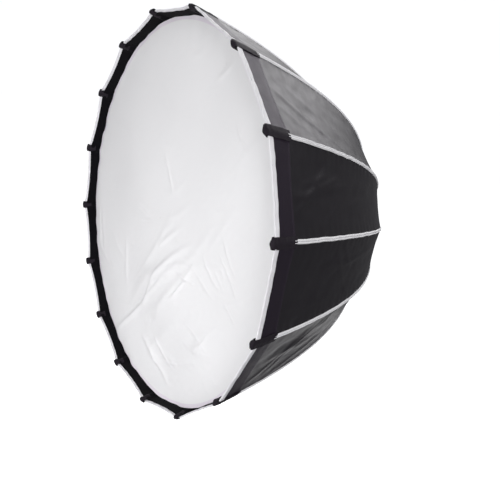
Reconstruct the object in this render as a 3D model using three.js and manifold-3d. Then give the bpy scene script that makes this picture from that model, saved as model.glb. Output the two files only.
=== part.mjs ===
// A deep sixteen-rib softbox of the octabox family, open and ready for use.
// Frame: the optical axis is Y, the box opens towards -Y and the light bolts on from +Y. +Z is up.
// The origin is the centre of the bayonet insert's rear face, where the light's front bears on it.
// Units are millimetres. "Forward" is the distance in front of the ribs' hinge plane.

import * as THREE from 'three';
import { mergeVertices } from 'three/addons/utils/BufferGeometryUtils.js';
import Module from 'manifold-3d';

const wasm = await Module();
wasm.setup();

// ---- driving dimensions -------------------------------------------------------------------

const RIBS = 16;
const STEP = (2 * Math.PI) / RIBS;
const FIRST_RIB = STEP / 2;              // from +Z towards +X, so that a flat gore is at the top
const GAP = 0.4;                         // running clearance between pieces that touch
const OVERCUT = 2;                       // how far a cutting tool runs past what it cuts
const WELD = 1e-4;                       // points closer than this are one point

const TURNED_SIDES = 48;
const ROD_SIDES = 12;
const BORE_SIDES = 8;
const HEX_SIDES = 6;

const RIM_RADIUS = 600;                  // skin corners at the rim: a 1.2 m box
const BOX_DEPTH = 852;                   // hinge plane to rim plane
const HINGE_RADIUS = 94;                 // hinge wire, measured at a rib
const HINGE_Y = -26;                     // hinge plane

// The rib is one cubic curve from its eye to its tip, steep at the hub and nearly straight at the rim.
const HEEL_ANGLE = THREE.MathUtils.degToRad(70);   // from the optical axis
const HEEL_HANDLE = 272;
const TIP_ANGLE = THREE.MathUtils.degToRad(8);
const TIP_HANDLE = 567;
const RIB_RADIUS = 3;                    // glass-fibre rod
const RIB_SIDES = 6;
const RIB_STEPS = 13;
const ROD_START = 0.006;                 // share of the curve left out, so the rod starts inside its eye
const BALL_RADIUS = 4.5;
const BALL_SIDES = [8, 4];
const EYE_RADIUS = 6;
const EYE_WIDTH = 6;
const EYE_BORE = 1.8;
const TIP_SET_BACK = 1;                  // rim plane to the rod's end

const SKIN_OFFSET = 7;                   // rib centreline to the outside of the skin
const SKIN_THICKNESS = 1.2;
const SKIN_STATIONS = 13;
const SKIN_NECK_RADIUS = 122;            // where the skin ends, just outside the hub
const NECK_SEARCH_STEP = 0.001;

const DIFFUSER_RECESS = 45;              // rim plane to the diffuser's front
const DIFFUSER_RADIUS = 579;
const DIFFUSER_THICKNESS = 1.5;
const DIFFUSER_SECTORS = 8;
const DIFFUSER_EYE = 3;                  // the sectors stop this far from the axis

const PORT_RADIUS = 49;                  // light port
const NECK_RADIUS = 66;                  // insert, where the hub turns on it
const NECK_FRONT_Y = -33;
const NECK_WALL = 4;                     // the neck is bored out from the front to this wall
const FACE_THICKNESS = 4;                // and up to this plate at the rear
const FLANGE_RADIUS = 74;
const FLANGE_Y = [-21.5, -15.5];
const SPIGOT_RADIUS = 53.5;              // rear spigot that carries the bayonet lugs
const SPIGOT_REAR_Y = 9;
const LUG_RADIUS = 60;
const LUG_Y = [4.5, 9];
const LUG_WIDTH = 30;
const LUG_ROOT = 2.5;                    // how deep a lug is set into the spigot's wall
const LUGS = 3;

const HUB_RADIUS = 104;
const HUB_Y = [-36, -5];
const HUB_BORE = NECK_RADIUS + 1;
const FLANGE_BORE = FLANGE_RADIUS + 0.8;
const LIP_FRONT_Y = -15;                 // the hub's rear lip, behind the insert's flange
const SLOT_WIDTH = 7;
const SLOT_BOTTOM_RADIUS = 86.5;
const SLOT_FLOOR_Y = -18.5;
const GROOVE_RADIUS = [91.8, 98.3];
const GROOVE_FLOOR_Y = -24.3;
const WIRE_RADIUS = 1.2;

const COVER_Y = [-39, -36.3];
const COVER_SPIGOT_REAR_Y = -22;
const COVER_NOTCH_RADIUS = 97.5;
const COVER_NOTCH_WIDTH = 8;

const SCREW_CIRCLE = 83;
const SCREW_SHANK = 2;
const SCREW_HOLE = 2.4;
const SCREW_HEAD = 3.6;
const SCREW_HEAD_HEIGHT = 2.4;
const SCREW_END_Y = -24;
const SCREW_HOLE_END_Y = -22;
const SCREWS = 4;
const SOCKET_RADIUS = 1.7;
const SOCKET_DEPTH = 1.5;
const SCREW_ROOT = 0.5;                  // how far the shank runs up into the head

const KNOB_Y = -10;
const KNOB_STEM = 2.5;
const KNOB_HOLE = 2.9;
const KNOB_RADIUS = 8.2;
const KNOB_LOBES = 6;
const KNOB_SIDES = 4 * KNOB_LOBES;
const KNOB_LOBE_DEPTH = 0.8;
const KNOB_SPAN = [107, 125];            // distance of the head from the optical axis
const KNOB_STEM_GAP = 1;                 // stem end to the insert's neck, with the knob backed off

// ---- materials ----------------------------------------------------------------------------

const material = (color, roughness, metalness) => () =>
  new THREE.MeshStandardMaterial({ color, roughness, metalness });
const NYLON = material(0x2d2b30, 0.75, 0);
const DIFFUSER_CLOTH = material(0xf0eff2, 0.9, 0);
const GLASS_FIBRE = material(0x3a3a3c, 0.5, 0);
const HUB_ALUMINIUM = material(0x26262a, 0.45, 0.6);
const BARE_STEEL = material(0x9a9a9e, 0.3, 1);
const KNOB_PLASTIC = material(0x1c1c1f, 0.6, 0);

// ---- solids -------------------------------------------------------------------------------

/** A closed three.js geometry as a Manifold solid, turned right side out if need be. */
function solid(geometry) {
  const bare = geometry.index ? geometry.toNonIndexed() : geometry.clone();
  bare.deleteAttribute('normal');
  bare.deleteAttribute('uv');
  const welded = mergeVertices(bare, WELD);
  const index = Array.from(welded.index.array);
  const at = welded.attributes.position;
  const corners = [0, 1, 2].map(() => new THREE.Vector3());
  const triangles = [];
  let volume = 0;
  for (let i = 0; i < index.length; i += 3) {
    const [a, b, c] = index.slice(i, i + 3);
    if (a === b || b === c || c === a) continue;
    corners.forEach((corner, n) => corner.fromBufferAttribute(at, index[i + n]));
    volume += corners[0].dot(corners[1].clone().cross(corners[2]));
    triangles.push([a, b, c]);
  }
  const outward = volume < 0 ? triangles.map(([a, b, c]) => [a, c, b]) : triangles;
  return new wasm.Manifold(new wasm.Mesh({
    numProp: 3,
    vertProperties: new Float32Array(at.array),
    triVerts: new Uint32Array(outward.flat()),
  }));
}

/** A Manifold solid as a three.js geometry. */
function geometryOf(body) {
  const mesh = body.getMesh();
  const geometry = new THREE.BufferGeometry();
  geometry.setAttribute('position', new THREE.BufferAttribute(mesh.vertProperties, 3));
  geometry.setIndex(new THREE.BufferAttribute(mesh.triVerts, 1));
  geometry.computeVertexNormals();
  return geometry;
}

/** A closed surface from points and faces, as a geometry. */
function closed(points, faces) {
  const geometry = new THREE.BufferGeometry();
  geometry.setAttribute('position', new THREE.Float32BufferAttribute(points.flat(), 3));
  geometry.setIndex(faces.flat());
  return geometryOf(solid(geometry));
}

/** A ring turned about the optical axis from [radius, y] points. */
function turned(profile, segments = TURNED_SIDES) {
  const points = [...profile, profile[0]].map(([r, y]) => new THREE.Vector2(r, y));
  return new THREE.LatheGeometry(points, segments);
}

/** A box between two corners. */
function block([x0, y0, z0], [x1, y1, z1]) {
  const box = new THREE.BoxGeometry(x1 - x0, y1 - y0, z1 - z0);
  return box.translate((x0 + x1) / 2, (y0 + y1) / 2, (z0 + z1) / 2);
}

/** A rod between two distances from the optical axis, standing on +Z. */
function radialRod(radius, from, to, sides = ROD_SIDES) {
  const rod = new THREE.CylinderGeometry(radius, radius, to - from, sides);
  return rod.rotateX(Math.PI / 2).translate(0, 0, (from + to) / 2);
}

/** A rod along Y between two y values. */
function axialRod(radius, from, to, sides = ROD_SIDES) {
  return new THREE.CylinderGeometry(radius, radius, to - from, sides).translate(0, (from + to) / 2, 0);
}

const around = (geometry, angle) => geometry.clone().rotateY(angle);
const union = (parts) => parts.map(solid).reduce((whole, part) => whole.add(part));
const cut = (body, tools) => tools.map(solid).reduce((left, tool) => left.subtract(tool), body);
const ribAngle = (i) => FIRST_RIB + i * STEP;
const label = (stem, i) => `${stem}_${String(i + 1).padStart(2, '0')}`;

// ---- ribs ---------------------------------------------------------------------------------

/** The rib's centreline in the plane of +Y and +Z, as a curve from the hinge to the tip. */
function ribCurve() {
  const tip = new THREE.Vector2(RIM_RADIUS - SKIN_OFFSET, BOX_DEPTH - TIP_SET_BACK);
  const place = (r, forward) => new THREE.Vector3(0, HINGE_Y - forward, r);
  return new THREE.CubicBezierCurve3(
    place(HINGE_RADIUS, 0),
    place(HINGE_RADIUS + HEEL_HANDLE * Math.sin(HEEL_ANGLE), HEEL_HANDLE * Math.cos(HEEL_ANGLE)),
    place(tip.x - TIP_HANDLE * Math.sin(TIP_ANGLE), tip.y - TIP_HANDLE * Math.cos(TIP_ANGLE)),
    place(tip.x, tip.y),
  );
}

/** Rod, eye and ball tip of one rib, standing on +Z. */
function ribGeometry() {
  const curve = ribCurve();
  const section = new THREE.Shape();
  section.absarc(0, 0, RIB_RADIUS, 0, 2 * Math.PI);
  const share = (i) => ROD_START + ((1 - ROD_START) * i) / RIB_STEPS;
  const rodPath = new THREE.CatmullRomCurve3(
    Array.from({ length: RIB_STEPS + 1 }, (_, i) => curve.getPoint(share(i))),
  );
  const rod = new THREE.ExtrudeGeometry(section, {
    extrudePath: rodPath, steps: RIB_STEPS, curveSegments: RIB_SIDES / 2, bevelEnabled: false,
  });
  const onWire = (radius, width, sides) => new THREE.CylinderGeometry(radius, radius, width, sides)
    .rotateZ(Math.PI / 2).translate(0, HINGE_Y, HINGE_RADIUS);
  const end = curve.getPoint(1);
  const ball = new THREE.SphereGeometry(BALL_RADIUS, ...BALL_SIDES).translate(end.x, end.y, end.z);
  const eye = onWire(EYE_RADIUS, EYE_WIDTH, ROD_SIDES);
  const bore = onWire(EYE_BORE, EYE_WIDTH + OVERCUT, BORE_SIDES);
  return geometryOf(cut(union([rod, eye, ball]), [bore]));
}

// ---- skin ---------------------------------------------------------------------------------

/** Points [radius, y] along the outside of the skin in a rib's plane, from the neck to the rim. */
function skinProfile() {
  const curve = ribCurve();
  const outside = (t) => {
    const at = curve.getPoint(t);
    const along = curve.getTangent(t);
    return [at.z - along.y * SKIN_OFFSET, at.y + along.z * SKIN_OFFSET];
  };
  let neck = 0;
  while (outside(neck)[0] < SKIN_NECK_RADIUS) neck += NECK_SEARCH_STEP;
  const share = (i) => neck + ((1 - neck) * i) / (SKIN_STATIONS - 1);
  return Array.from({ length: SKIN_STATIONS }, (_, i) => outside(share(i)));
}

/** One gore: flat from rib to rib, curved from hub to rim. Its middle stands on +Z. */
function goreGeometry() {
  const outer = skinProfile().map(([r, y]) => [r * Math.cos(STEP / 2), y]);
  const inner = outer.map(([z, y], i) => {
    const before = outer[Math.max(i - 1, 0)];
    const after = outer[Math.min(i + 1, outer.length - 1)];
    const run = Math.hypot(after[0] - before[0], after[1] - before[1]);
    const normal = [-(after[1] - before[1]) / run, (after[0] - before[0]) / run];
    return [z - normal[0] * SKIN_THICKNESS, y - normal[1] * SKIN_THICKNESS];
  });
  const points = [];
  for (const [z, y] of [...outer, ...inner]) {
    const half = z * Math.tan(STEP / 2) - GAP;
    points.push([-half, y, z], [half, y, z]);
  }
  const n = outer.length;
  const faces = [];
  const quad = (a, b, c, d) => faces.push([a, b, c], [a, c, d]);
  for (let i = 0; i < n - 1; i += 1) {
    const [o, p] = [2 * i, 2 * (n + i)];
    quad(o, o + 1, o + 3, o + 2);
    quad(p, p + 2, p + 3, p + 1);
    quad(o, o + 2, p + 2, p);
    quad(o + 1, p + 1, p + 3, o + 3);
  }
  const [lastOuter, lastInner] = [2 * (n - 1), 2 * (2 * n - 1)];
  quad(0, 2 * n, 2 * n + 1, 1);
  quad(lastOuter, lastOuter + 1, lastInner + 1, lastInner);
  return closed(points, faces);
}

// ---- diffuser -----------------------------------------------------------------------------

/** One sector of the diffuser cloth, two gores wide, with the rib it hangs from on +Z. */
function sectorGeometry() {
  const corner = (r, side) => {
    const angle = side * STEP;
    return new THREE.Vector2(r * Math.sin(angle) - side * GAP, r * Math.cos(angle));
  };
  const outline = [
    corner(DIFFUSER_EYE, -1), corner(DIFFUSER_EYE, 1),
    corner(DIFFUSER_RADIUS, 1), corner(DIFFUSER_RADIUS, 0), corner(DIFFUSER_RADIUS, -1),
  ];
  const cloth = new THREE.ExtrudeGeometry(new THREE.Shape(outline), {
    depth: DIFFUSER_THICKNESS, bevelEnabled: false,
  });
  cloth.rotateX(Math.PI / 2);
  const front = HINGE_Y - BOX_DEPTH + DIFFUSER_RECESS;
  cloth.translate(0, front + DIFFUSER_THICKNESS, 0);
  return geometryOf(solid(cloth));
}

// ---- hub ----------------------------------------------------------------------------------

/** Hub ring: a rear lip, a bore for the insert's flange, sixteen rib slots and the wire groove. */
function hubGeometry() {
  const ring = turned([
    [HUB_BORE, HUB_Y[1]], [HUB_RADIUS, HUB_Y[1]], [HUB_RADIUS, HUB_Y[0]],
    [FLANGE_BORE, HUB_Y[0]], [FLANGE_BORE, LIP_FRONT_Y], [HUB_BORE, LIP_FRONT_Y],
  ]);
  const groove = turned([
    [GROOVE_RADIUS[0], HUB_Y[0] - OVERCUT], [GROOVE_RADIUS[1], HUB_Y[0] - OVERCUT],
    [GROOVE_RADIUS[1], GROOVE_FLOOR_Y], [GROOVE_RADIUS[0], GROOVE_FLOOR_Y],
  ]);
  const slot = block(
    [-SLOT_WIDTH / 2, HUB_Y[0] - OVERCUT, SLOT_BOTTOM_RADIUS],
    [SLOT_WIDTH / 2, SLOT_FLOOR_Y, HUB_RADIUS + OVERCUT],
  );
  const slots = Array.from({ length: RIBS }, (_, i) => around(slot, ribAngle(i)));
  const screwHole = axialRod(SCREW_HOLE, HUB_Y[0] - OVERCUT, SCREW_HOLE_END_Y);
  screwHole.translate(0, 0, SCREW_CIRCLE);
  const screwHoles = Array.from({ length: SCREWS }, (_, i) => around(screwHole, screwAngle(i)));
  const knobHole = around(radialRod(KNOB_HOLE, HUB_BORE - OVERCUT, HUB_RADIUS + OVERCUT), Math.PI);
  knobHole.translate(0, KNOB_Y, 0);
  return geometryOf(cut(solid(ring), [groove, ...slots, ...screwHoles, knobHole]));
}

/** Front cover: it closes the wire groove, and its spigot holds the insert's flange. */
function coverGeometry() {
  const spigot = FLANGE_BORE - GAP;
  const plate = turned([
    [HUB_BORE, COVER_Y[0]], [HUB_RADIUS, COVER_Y[0]], [HUB_RADIUS, COVER_Y[1]],
    [spigot, COVER_Y[1]], [spigot, COVER_SPIGOT_REAR_Y], [HUB_BORE, COVER_SPIGOT_REAR_Y],
  ]);
  const notch = block(
    [-COVER_NOTCH_WIDTH / 2, COVER_Y[0] - OVERCUT, COVER_NOTCH_RADIUS],
    [COVER_NOTCH_WIDTH / 2, COVER_Y[1] + OVERCUT, HUB_RADIUS + OVERCUT],
  );
  const notches = Array.from({ length: RIBS }, (_, i) => around(notch, ribAngle(i)));
  const hole = axialRod(SCREW_HOLE, COVER_Y[0] - OVERCUT, COVER_Y[1] + OVERCUT);
  hole.translate(0, 0, SCREW_CIRCLE);
  const holes = Array.from({ length: SCREWS }, (_, i) => around(hole, screwAngle(i)));
  return geometryOf(cut(solid(plate), [...notches, ...holes]));
}

/** Bayonet insert: neck, flange, rear spigot and three lugs around the light port. */
function insertGeometry() {
  const bore = NECK_RADIUS - NECK_WALL;
  const body = turned([
    [bore, NECK_FRONT_Y], [NECK_RADIUS, NECK_FRONT_Y], [NECK_RADIUS, FLANGE_Y[0]],
    [FLANGE_RADIUS, FLANGE_Y[0]], [FLANGE_RADIUS, FLANGE_Y[1]], [NECK_RADIUS, FLANGE_Y[1]],
    [NECK_RADIUS, 0], [SPIGOT_RADIUS, 0], [SPIGOT_RADIUS, SPIGOT_REAR_Y],
    [PORT_RADIUS, SPIGOT_REAR_Y], [PORT_RADIUS, -FACE_THICKNESS], [bore, -FACE_THICKNESS],
  ]);
  const inWall = SPIGOT_RADIUS - LUG_ROOT;
  const lug = block([-LUG_WIDTH / 2, LUG_Y[0], inWall], [LUG_WIDTH / 2, LUG_Y[1], LUG_RADIUS]);
  const lugs = Array.from({ length: LUGS }, (_, i) => around(lug, (i * 2 * Math.PI) / LUGS));
  const port = axialRod(PORT_RADIUS, -FACE_THICKNESS - OVERCUT, SPIGOT_REAR_Y + OVERCUT, TURNED_SIDES);
  return geometryOf(cut(union([body, ...lugs]), [port]));
}

/** Hinge wire: a sixteen-sided hoop whose straight sides run through the rib eyes. */
function wireGeometry() {
  const corner = HINGE_RADIUS / Math.cos(STEP / 2);
  const section = Array.from({ length: HEX_SIDES }, (_, i) => {
    const angle = (i * 2 * Math.PI) / HEX_SIDES;
    return [corner + WIRE_RADIUS * Math.cos(angle), HINGE_Y + WIRE_RADIUS * Math.sin(angle)];
  });
  return geometryOf(solid(turned(section, RIBS)));
}

const screwAngle = (i) => (i * 2 * Math.PI) / SCREWS;

/** One socket-head cover screw, on +Z. */
function screwGeometry() {
  const headRear = COVER_Y[0] - GAP / 2;
  const headFront = headRear - SCREW_HEAD_HEIGHT;
  const shank = axialRod(SCREW_SHANK, headRear - SCREW_ROOT, SCREW_END_Y);
  const head = axialRod(SCREW_HEAD, headFront, headRear);
  const socket = axialRod(SOCKET_RADIUS, headFront - OVERCUT, headFront + SOCKET_DEPTH, HEX_SIDES);
  return geometryOf(cut(union([shank, head]), [socket])).translate(0, 0, SCREW_CIRCLE);
}

/** Lock knob: a lobed head on a screw whose end clamps the insert's neck. Stands on +Z. */
function knobGeometry() {
  const outline = Array.from({ length: KNOB_SIDES }, (_, i) => {
    const angle = (i * 2 * Math.PI) / KNOB_SIDES;
    const r = KNOB_RADIUS + KNOB_LOBE_DEPTH * Math.cos(KNOB_LOBES * angle);
    return new THREE.Vector2(r * Math.cos(angle), r * Math.sin(angle));
  });
  const head = new THREE.ExtrudeGeometry(new THREE.Shape(outline), {
    depth: KNOB_SPAN[1] - KNOB_SPAN[0], bevelEnabled: false,
  }).translate(0, 0, KNOB_SPAN[0]);
  const stem = radialRod(KNOB_STEM, NECK_RADIUS + KNOB_STEM_GAP, KNOB_SPAN[0] + OVERCUT);
  return geometryOf(union([head, stem])).translate(0, KNOB_Y, 0);
}

// ---- assembly -----------------------------------------------------------------------------

const octabox = new THREE.Group();

/** Adds one named piece, turned to its angle about the optical axis. */
function add(name, geometry, finish, angle = 0) {
  const mesh = new THREE.Mesh(geometry, finish());
  mesh.name = name;
  mesh.rotation.y = angle;
  octabox.add(mesh);
}

add('bayonet_insert', insertGeometry(), BARE_STEEL);
add('hub_ring', hubGeometry(), HUB_ALUMINIUM);
add('front_cover', coverGeometry(), HUB_ALUMINIUM);
add('hinge_wire', wireGeometry(), BARE_STEEL);
add('lock_knob', knobGeometry(), KNOB_PLASTIC, Math.PI);

const screw = screwGeometry();
for (let i = 0; i < SCREWS; i += 1) add(label('cover_screw', i), screw, BARE_STEEL, screwAngle(i));

const rib = ribGeometry();
const gore = goreGeometry();
for (let i = 0; i < RIBS; i += 1) {
  add(label('rib', i), rib, GLASS_FIBRE, ribAngle(i));
  add(label('skin_gore', i), gore, NYLON, ribAngle(i) + STEP / 2);
}

const sector = sectorGeometry();
for (let i = 0; i < DIFFUSER_SECTORS; i += 1) {
  add(label('diffuser_sector', i), sector, DIFFUSER_CLOTH, ribAngle((RIBS / DIFFUSER_SECTORS) * i));
}

export default octabox;
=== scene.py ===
"""A deep folding softbox with sixteen bowed ribs, a black skin and a white diffuser.

Everything is in metres in the row frame: the optical axis is Y, the box opens towards -Y, the
light bolts on from +Y, and +Z is up. Angles about the axis run from +Z towards +X.
"""

import logging
import math
from dataclasses import dataclass, field
from enum import Enum
from typing import Any, Optional, Sequence, Union

import bpy
import numpy as np
from mathutils import Matrix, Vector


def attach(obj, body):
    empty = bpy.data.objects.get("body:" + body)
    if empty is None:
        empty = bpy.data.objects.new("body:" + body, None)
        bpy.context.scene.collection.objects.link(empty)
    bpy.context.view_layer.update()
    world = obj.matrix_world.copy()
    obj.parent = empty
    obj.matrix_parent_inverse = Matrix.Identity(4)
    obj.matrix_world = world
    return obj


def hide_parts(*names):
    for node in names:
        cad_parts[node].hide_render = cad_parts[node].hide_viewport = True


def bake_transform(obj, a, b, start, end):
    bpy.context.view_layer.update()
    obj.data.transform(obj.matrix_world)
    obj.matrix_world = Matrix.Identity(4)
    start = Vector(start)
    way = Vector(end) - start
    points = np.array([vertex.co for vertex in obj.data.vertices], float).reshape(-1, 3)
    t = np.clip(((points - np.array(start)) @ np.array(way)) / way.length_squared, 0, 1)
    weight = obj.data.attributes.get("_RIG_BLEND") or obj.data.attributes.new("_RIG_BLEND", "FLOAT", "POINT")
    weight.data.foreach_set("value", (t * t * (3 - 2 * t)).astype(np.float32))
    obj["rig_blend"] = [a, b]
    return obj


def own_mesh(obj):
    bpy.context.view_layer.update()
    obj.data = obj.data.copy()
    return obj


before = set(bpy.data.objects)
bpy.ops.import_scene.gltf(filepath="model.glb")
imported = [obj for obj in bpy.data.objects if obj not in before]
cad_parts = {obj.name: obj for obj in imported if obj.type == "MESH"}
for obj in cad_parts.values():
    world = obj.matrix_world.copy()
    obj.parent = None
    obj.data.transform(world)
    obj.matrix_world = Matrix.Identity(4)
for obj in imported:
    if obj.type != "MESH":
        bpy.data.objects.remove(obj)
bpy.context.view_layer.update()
LOG = logging.getLogger("softbox")
Array = np.ndarray
MM = 0.001
AXIS = np.array([0.0, 1.0, 0.0])
SHARP = 38.0
BEVELLED_OVER = 32.0


# ---- shader maths -----------------------------------------------------------------------------


class Value:
    """A number that varies over a surface: a socket with arithmetic."""

    def __init__(self, nodes: "Nodes", socket: bpy.types.NodeSocket) -> None:
        """Wraps a socket of one material's nodes."""
        self.nodes = nodes
        self.socket = socket

    def _with(self, operation: str, *others: "Number", swap: bool = False) -> "Value":
        """Adds one Math node.

        Args:
            operation: the Math node's operation.
            others: the other terms, values or numbers.
            swap: True puts this value last, for the reflected operators.

        Returns:
            The result.
        """
        terms: list[Number] = [self, *others]
        if swap:
            terms.reverse()
        inputs = dict(enumerate(terms))
        return self.nodes.value("ShaderNodeMath", {"operation": operation}, inputs)

    def __add__(self, other: "Number") -> "Value":
        """Sum."""
        return self._with("ADD", other)

    def __sub__(self, other: "Number") -> "Value":
        """Difference."""
        return self._with("SUBTRACT", other)

    def __rsub__(self, other: "Number") -> "Value":
        """Difference, the other way round."""
        return self._with("SUBTRACT", other, swap=True)

    def __mul__(self, other: "Number") -> "Value":
        """Product."""
        return self._with("MULTIPLY", other)

    def __pow__(self, other: "Number") -> "Value":
        """Power."""
        return self._with("POWER", other)

    __radd__ = __add__
    __rmul__ = __mul__

    def wave(self, pitch: float) -> "Value":
        """Sine of a length in metres, one period per pitch."""
        return (self * (2 * math.pi / pitch))._with("SINE")

    def size(self) -> "Value":
        """Absolute value."""
        return self._with("ABSOLUTE")

    def above(self, low: float, high: float) -> "Value":
        """A soft step: 0 below low, 1 above high."""
        return self.nodes.value(
            "ShaderNodeMapRange",
            {"interpolation_type": "SMOOTHSTEP"},
            {"Value": self, "From Min": low, "From Max": high},
        )

    def ridge(self, middle: float, half: float) -> "Value":
        """A soft band: 1 at middle, 0 beyond half on either side."""
        return 1 - (self - middle).size().above(0, half)


Number = Union[Value, float, int]


class Nodes:
    """The node tree of one material or world, filled through one method."""

    def __init__(self, owner: Union[bpy.types.Material, bpy.types.World]) -> None:
        """Empties the owner's node tree."""
        self.owner = owner
        owner.use_nodes = True
        self.tree = owner.node_tree
        self.tree.nodes.clear()

    def node(
        self, kind: str, settings: dict[str, Any], inputs: dict[Any, Any]
    ) -> bpy.types.Node:
        """Adds a node.

        Args:
            kind: the node's type.
            settings: its own properties, set first.
            inputs: socket name or index to a number, colour, Value or socket.

        Returns:
            The node.
        """
        made = self.tree.nodes.new(kind)
        for key, setting in settings.items():
            setattr(made, key, setting)
        for key, given in inputs.items():
            if isinstance(given, Value):
                given = given.socket
            if isinstance(given, bpy.types.NodeSocket):
                self.tree.links.new(given, made.inputs[key])
            else:
                made.inputs[key].default_value = given
        return made

    def value(
        self,
        kind: str,
        settings: dict[str, Any],
        inputs: dict[Any, Any],
        output: Any = 0,
    ) -> Value:
        """Adds a node and gives one of its outputs as a Value."""
        return Value(self, self.node(kind, settings, inputs).outputs[output])

    def noise(
        self, where: bpy.types.NodeSocket, scale: float, detail: float = 3.0
    ) -> Value:
        """Soft noise from 0 to 1 at a point; scale is in periods per metre."""
        return self.value(
            "ShaderNodeTexNoise", {}, {"Vector": where, "Scale": scale, "Detail": detail}
        )

    def uv(self) -> tuple[bpy.types.NodeSocket, Value, Value]:
        """The piece's own UV map in metres: the vector, across and along."""
        where = self.node("ShaderNodeTexCoord", {}, {}).outputs["UV"]
        split = self.node("ShaderNodeSeparateXYZ", {}, {0: where})
        return where, Value(self, split.outputs[0]), Value(self, split.outputs[1])

    def place(self) -> tuple[bpy.types.NodeSocket, Value, Value, Value]:
        """Object coordinates: the vector, x, y and z."""
        where = self.node("ShaderNodeTexCoord", {}, {}).outputs["Object"]
        split = self.node("ShaderNodeSeparateXYZ", {}, {0: where})
        return (where, *(Value(self, split.outputs[i]) for i in range(3)))

    def mix(self, share: Number, a: Any, b: Any) -> bpy.types.NodeSocket:
        """Colour a at share 0 and colour b at share 1."""
        blend = self.node(
            "ShaderNodeMix", {"data_type": "RGBA"}, {"Factor": share, 6: a, 7: b}
        )
        return blend.outputs[2]

    def bump(self, height: Value) -> bpy.types.NodeSocket:
        """A normal from a height in metres."""
        made = self.node("ShaderNodeBump", {}, {"Height": height, "Distance": 1.0})
        return made.outputs["Normal"]

    def surface(self, inputs: dict[str, Any]) -> bpy.types.Material:
        """Ends the tree in a Principled surface and returns the material."""
        shader = self.node("ShaderNodeBsdfPrincipled", {}, inputs)
        self.node("ShaderNodeOutputMaterial", {}, {"Surface": shader.outputs[0]})
        return self.owner


# ---- finishes ---------------------------------------------------------------------------------


def rgba(colour: Sequence[float], gain: float = 1.0) -> tuple[float, ...]:
    """A colour with alpha, made lighter or darker by gain."""
    return (*(min(1.0, c * gain) for c in colour), 1.0)


@dataclass(frozen=True)
class Finish:
    """A surface finish, which also carries the name of a material slot of the record; nothing here reads
    that slot.
    """

    name: str
    slot: str
    colour: tuple[float, float, float]
    roughness: float

    def material(self) -> bpy.types.Material:
        """Makes the material, or gives the one made before."""
        label = f"{self.name}_finish"
        made = bpy.data.materials.get(label)
        return made or self.build(Nodes(bpy.data.materials.new(label)))

    def build(self, n: Nodes) -> bpy.types.Material:
        """Fills the material's nodes."""
        raise NotImplementedError


@dataclass(frozen=True)
class Cloth(Finish):
    """Plain-weave cloth with small crinkles, on UVs in metres."""

    weave: float = 0.0006
    weave_depth: float = 0.00003
    crinkle: float = 0.0005
    sheen: float = 0.0
    sheen_roughness: float = 0.4
    metallic: float = 0.0
    specular: float = 0.5
    patchy: float = 0.12
    tint: tuple[float, float, float] = (1.0, 1.0, 1.0)
    stitch_rows: tuple[float, ...] = ()
    stitch_gain: float = 1.6
    stitch_half: float = 0.7 * MM
    stitch_pitch: float = 4.2 * MM
    stitch_height: float = 0.3 * MM
    patch_scale: float = 9
    crinkle_scale: float = 38
    uneven: float = 0.18

    def stitches(self, across: Value, along: Value) -> Value:
        """Rows of stitches across the piece at fixed distances along it, from 0 to 1."""
        rows = sum(along.ridge(row, self.stitch_half) for row in self.stitch_rows)
        return rows * across.wave(self.stitch_pitch).above(-0.55, -0.1)

    def build(self, n: Nodes) -> bpy.types.Material:
        """Weave, crinkles and patchy colour."""
        where, across, along = n.uv()
        weave = across.wave(self.weave) * along.wave(self.weave)
        patches = n.noise(where, self.patch_scale, 4)
        crinkles = n.noise(where, self.crinkle_scale, 3)
        height = weave * self.weave_depth + crinkles * self.crinkle
        colour = n.mix(
            patches, rgba(self.colour, 1 - self.patchy), rgba(self.colour, 1 + self.patchy)
        )
        if self.stitch_rows:
            rows = self.stitches(across, along)
            colour = n.mix(rows, colour, rgba(self.colour, self.stitch_gain))
            height = height + rows * self.stitch_height
        return n.surface(
            {
                "Base Color": colour,
                "Roughness": self.roughness + (crinkles - 0.5) * self.uneven,
                "Metallic": self.metallic,
                "Specular IOR Level": self.specular,
                "Specular Tint": rgba(self.tint),
                "Sheen Weight": self.sheen,
                "Sheen Roughness": self.sheen_roughness,
                "Sheen Tint": rgba((0.95, 0.9, 1.0)),
                "Normal": n.bump(height),
            }
        )


@dataclass(frozen=True)
class Tape(Finish):
    """Woven tape with cross ribs and a row of stitches near each edge."""

    rib_pitch: float = 0.0013
    rib_depth: float = 0.00012
    stitch_at: tuple[float, ...] = ()
    stitch_colour: tuple[float, float, float] = (0.5, 0.5, 0.52)
    stitch_half: float = 0.6 * MM
    stitch_pitch: float = 4.0 * MM
    stitch_depth: float = 0.4 * MM
    yarn: float = 0.7 * MM
    soil_scale: float = 24
    uneven: float = 0.2
    sheen: float = 0.1
    specular: float = 0.5

    def build(self, n: Nodes) -> bpy.types.Material:
        """Cross ribs, a fine yarn grain, soil and stitches."""
        where, across, along = n.uv()
        ribs = along.wave(self.rib_pitch)
        yarn = across.wave(self.yarn) * along.wave(self.rib_pitch / 2)
        soil = n.noise(where, self.soil_scale, 4)
        height = ribs * self.rib_depth + yarn * (self.rib_depth / 3)
        colour = n.mix(soil, rgba(self.colour, 0.88), rgba(self.colour, 1.1))
        if self.stitch_at:
            rows = sum(across.ridge(at, self.stitch_half) for at in self.stitch_at)
            rows = rows * along.wave(self.stitch_pitch).above(-0.5, 0.0)
            colour = n.mix(rows, colour, rgba(self.stitch_colour))
            height = height - rows * self.stitch_depth
        return n.surface(
            {
                "Base Color": colour,
                "Roughness": self.roughness + (soil - 0.5) * self.uneven,
                "Specular IOR Level": self.specular,
                "Sheen Weight": self.sheen,
                "Sheen Roughness": 0.5,
                "Normal": n.bump(height),
            }
        )


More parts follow.
